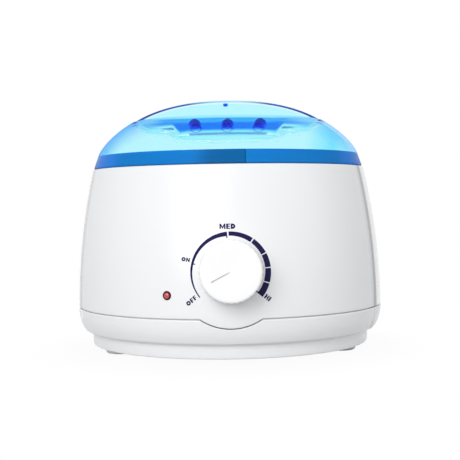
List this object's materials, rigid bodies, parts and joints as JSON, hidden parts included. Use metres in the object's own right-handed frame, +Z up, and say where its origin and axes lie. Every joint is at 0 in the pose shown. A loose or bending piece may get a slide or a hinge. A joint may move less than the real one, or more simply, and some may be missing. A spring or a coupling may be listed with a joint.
{
  "type": "wax heater",
  "caption": "Round table-top wax heater with a white two-part housing, a clear blue domed lid with a grip ridge, a lift-out pot with a bail, a temperature knob and a red lamp.",
  "frame": {"origin": "on the table, under the middle of the whole object's box; the body's own axis stands 7.27 mm behind it, because the knob stands out in front", "axes": "+Z up; -Y towards the front, where the dial is; +X to the right as seen from the front"},
  "size_m": [0.185, 0.2023, 0.1499],
  "materials": {
    "white_plastic": "gloss moulded",
    "white_knob": "satin moulded",
    "blue_clear": "clear polished, tinted blue",
    "aluminium": "spun",
    "steel": "plated",
    "brass": "turned",
    "copper": "drawn copper",
    "rubber": "matte",
    "silicone": "matte",
    "mica": "laminated mica",
    "fibre": "woven glass fibre",
    "dark_plastic": "gloss moulded",
    "red_lens": "clear red",
    "black_plastic": "fine texture",
    "ceramic": "unglazed ceramic",
    "lead_sheath": "silicone sheath",
    "lamp_glass": "clear"
  },
  "bodies": {
    "housing": {"base": "white_plastic", "upper_housing": "white_plastic", "foot_front_left": "rubber", "foot_front_right": "rubber", "foot_rear_left": "rubber", "foot_rear_right": "rubber", "base_screw_1": "steel", "base_screw_2": "steel", "base_screw_3": "steel", "base_screw_4": "steel", "heater_cup": "aluminium", "cup_gasket": "silicone", "band_heater": "mica", "insulation_wrap": "fibre", "chamber_bracket_1": "steel", "chamber_bracket_2": "steel", "chamber_bracket_3": "steel", "bracket_screw_1": "steel", "bracket_screw_2": "steel", "bracket_screw_3": "steel", "thermal_fuse": "silicone", "thermostat_bulb": "copper", "capillary_tube": "copper", "sensor_clip": "steel", "thermostat_body": "ceramic", "thermostat_bracket": "steel", "thermostat_bush": "brass", "bush_nut": "steel", "thermostat_screw_left": "steel", "thermostat_screw_right": "steel", "lamp_bezel": "dark_plastic", "lamp_lens": "red_lens", "indicator_lamp": "lamp_glass", "terminal_block": "black_plastic", "cord_gland": "black_plastic", "lead_live": "lead_sheath", "lead_thermostat": "lead_sheath", "lead_fuse": "lead_sheath", "lead_neutral": "lead_sheath", "lamp_lead_long": "lead_sheath", "lamp_lead_short": "lead_sheath"},
    "knob": {"knob": "white_knob", "thermostat_spindle": "brass"},
    "pot": {"inner_pot": "aluminium", "pot_ear_left": "steel", "pot_ear_right": "steel"},
    "bail": {"bail_handle": "steel"},
    "lid": {"lid": "blue_clear"}
  },
  "joints": [
    {"name": "knob_turn", "type": "hinge", "parent": "housing", "child": "knob", "pos_m": [0, -0.08364, 0.0507], "axis": [0, 0.9975, -0.0708], "range_deg": [-11, 246.4]},
    {"name": "pot_lift", "type": "slide", "parent": "housing", "child": "pot", "axis": [0, 0, 1], "range_m": [0, 0.1]},
    {"name": "lid_lift", "type": "slide", "parent": "pot", "child": "lid", "axis": [0, 0, 1], "range_m": [0, 0.12]},
    {"name": "bail_swing", "type": "hinge", "parent": "pot", "child": "bail", "pos_m": [0, 0.00727, 0.1098], "axis": [1, 0, 0], "range_deg": [0, 90]}
  ],
  "couplings": [
    {"joint": "bail_swing", "follows": "lid_lift", "rad_per_m": 13.08}
  ]
}
